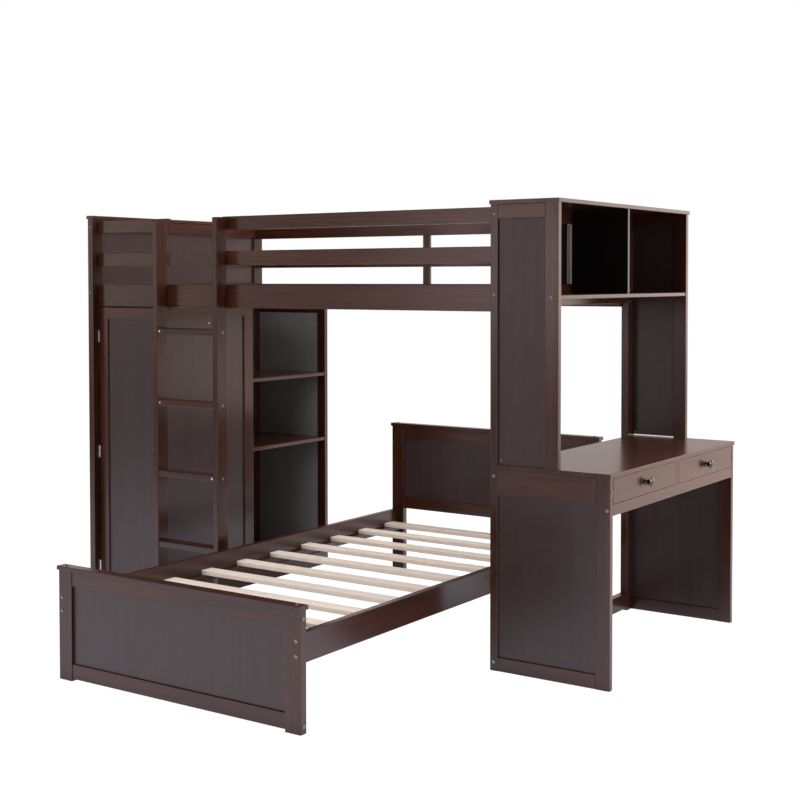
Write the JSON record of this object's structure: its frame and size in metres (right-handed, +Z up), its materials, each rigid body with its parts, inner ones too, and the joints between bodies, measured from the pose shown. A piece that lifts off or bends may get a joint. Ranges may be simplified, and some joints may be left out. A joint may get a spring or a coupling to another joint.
{
  "type": "loft bed",
  "caption": "Loft bed over a wardrobe with open bookcase, with an upright ladder, a desk with drawers under a shelf tower, and a low bed that stands free beneath.",
  "frame": {"origin": "on the floor, at the middle of the whole object seen from above", "axes": "+X along the loft from the wardrobe to the desk, +Y from the ladder side to the back, +Z up"},
  "size_m": [2.428, 2.008, 1.602],
  "materials": {
    "lacquered_wood": "dark brown stain under satin lacquer",
    "lacquered_panel": "dark brown veneer under satin lacquer",
    "thin_back_panel": "dark thin board, satin",
    "joint_strip": "satin grey",
    "bare_pine": "planed, uncoated",
    "drawer_wood": "planed, uncoated",
    "zinc_hardware": "bright zinc plated",
    "polished_knob": "polished nickel plate",
    "steel_rod": "polished"
  },
  "bodies": {
    "loft": {"back_guard_post": "lacquered_wood", "back_guard_rails": "lacquered_wood", "back_side_rail": "lacquered_wood", "bookcase_shelves": "lacquered_wood", "cabinet_floor": "lacquered_wood", "cabinet_partition": "lacquered_wood", "cabinet_rear_frame": "lacquered_wood", "cabinet_rear_panel": "lacquered_panel", "cabinet_side_frame": "lacquered_wood", "cabinet_side_panel": "lacquered_panel", "deck_ledgers": "lacquered_wood", "deck_slats": "bare_pine", "desk_apron": "lacquered_wood", "desk_divider": "lacquered_wood", "desk_front_frame": "lacquered_wood", "desk_rear_frame": "lacquered_wood", "desk_side_panels": "lacquered_panel", "desk_top": "lacquered_wood", "drawer_runners": "lacquered_wood", "front_guard_rails": "lacquered_wood", "front_side_rail": "lacquered_wood", "hinge_frame_leaves": "zinc_hardware", "hinge_pins": "zinc_hardware", "ladder_left_upright": "lacquered_wood", "ladder_right_upright": "lacquered_wood", "ladder_rungs": "lacquered_wood", "left_end_cap": "lacquered_wood", "left_end_frame": "lacquered_wood", "left_end_panels": "lacquered_panel", "loft_bolts": "zinc_hardware", "right_end_frame": "lacquered_wood", "rung_barrel_nuts": "zinc_hardware", "tower_back_panels": "thin_back_panel", "tower_back_strip": "joint_strip", "tower_divider": "lacquered_wood", "tower_front_frame": "lacquered_wood", "tower_rear_frame": "lacquered_wood", "tower_shelf": "lacquered_wood", "tower_side_panels": "lacquered_panel", "tower_top": "lacquered_wood", "wardrobe_hanging_rail": "steel_rod"},
    "wardrobe_door": {"door_frame": "lacquered_wood", "door_panel": "lacquered_panel", "door_knob": "polished_knob", "hinge_door_leaves": "zinc_hardware"},
    "front_drawer": {"front_drawer_face": "lacquered_wood", "front_drawer_box": "drawer_wood", "front_drawer_knob": "polished_knob"},
    "rear_drawer": {"rear_drawer_face": "lacquered_wood", "rear_drawer_box": "drawer_wood", "rear_drawer_knob": "polished_knob"},
    "low_bed": {"bed_footboard_frame": "lacquered_wood", "bed_footboard_panel": "lacquered_panel", "bed_headboard_frame": "lacquered_wood", "bed_headboard_panel": "lacquered_panel", "bed_caps": "lacquered_wood", "bed_side_rails": "lacquered_wood", "bed_ledgers": "lacquered_wood", "bed_slats": "bare_pine", "bed_bolts": "zinc_hardware"}
  },
  "joints": [
    {"name": "wardrobe_door_hinge", "type": "hinge", "parent": "loft", "child": "wardrobe_door", "pos_m": [-1.1757, -0.0743, 0.6125], "axis": [0, 0, -1], "range_deg": [0, 100]},
    {"name": "front_drawer_slide", "type": "slide", "parent": "loft", "child": "front_drawer", "axis": [1, 0, 0], "range_m": [0, 0.25]},
    {"name": "rear_drawer_slide", "type": "slide", "parent": "loft", "child": "rear_drawer", "axis": [1, 0, 0], "range_m": [0, 0.25]},
    {"name": "low_bed_slide", "type": "slide", "parent": "loft", "child": "low_bed", "axis": [0, -1, 0], "range_m": [0, 0.6]}
  ]
}
